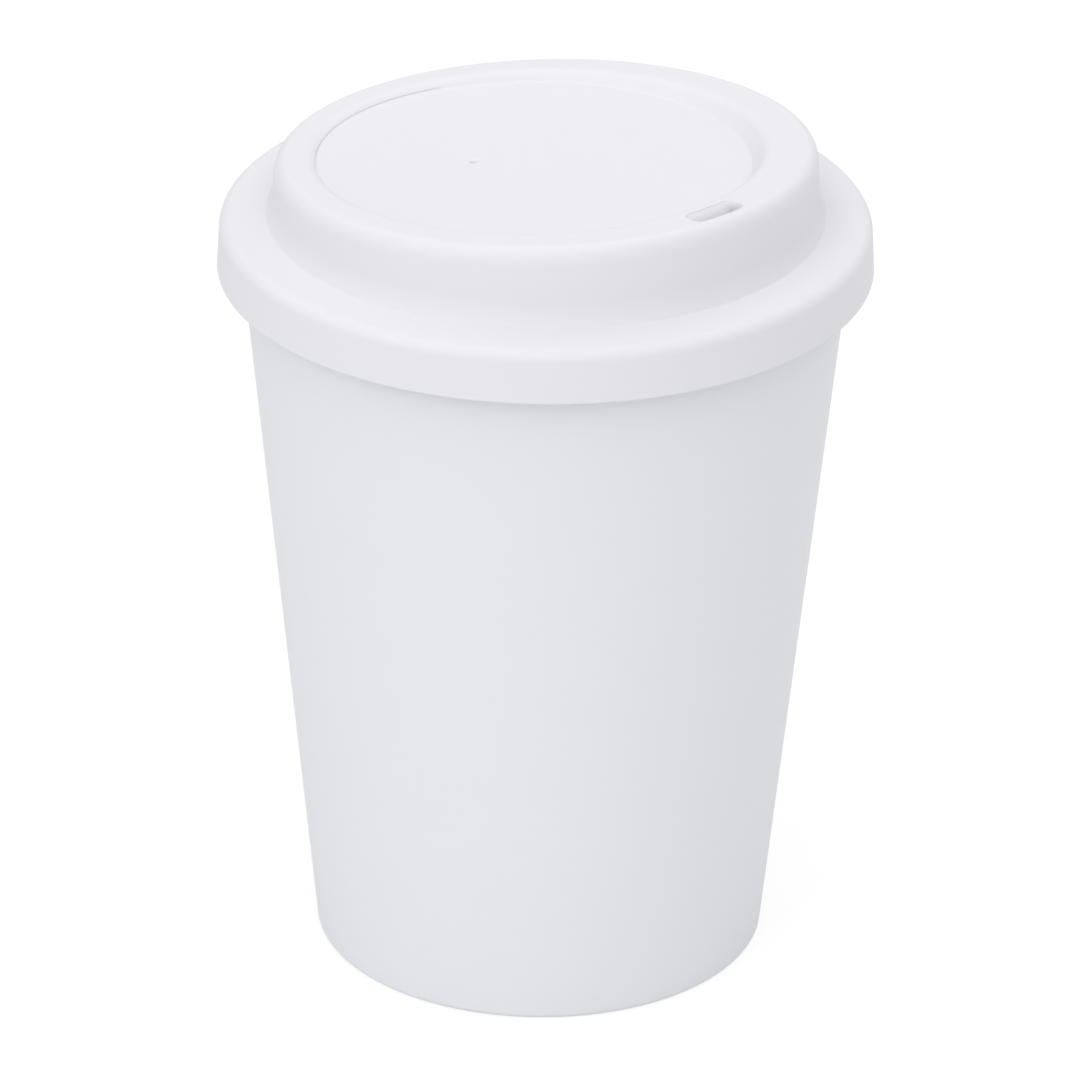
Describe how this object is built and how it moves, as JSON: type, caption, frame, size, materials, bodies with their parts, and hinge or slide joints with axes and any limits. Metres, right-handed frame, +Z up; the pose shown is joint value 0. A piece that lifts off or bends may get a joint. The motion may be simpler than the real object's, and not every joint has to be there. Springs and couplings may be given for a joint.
{
  "type": "reusable coffee cup",
  "caption": "Tapered reusable coffee cup with a press-on lid, whose raised, leaning drinking ring has a slot to drink through and a recess with a small vent hole.",
  "frame": {"origin": "centre of the ring that the cup stands on, on the table", "axes": "+Z up along the cup's axis; the picture looks along +Y, with +X to the right, and the drinking slot lies between +X and -Y"},
  "size_m": [0.093, 0.093, 0.1243],
  "materials": {
    "cup_plastic": "white moulded plastic with a fine matt grain",
    "lid_plastic": "white moulded plastic, smooth and matt"
  },
  "bodies": {
    "cup": {"cup": "cup_plastic"},
    "lid": {"lid": "lid_plastic"}
  },
  "joints": [
    {"name": "lid_lift", "type": "slide", "parent": "cup", "child": "lid", "axis": [0, 0, 1], "range_m": [0, 0.06]}
  ]
}
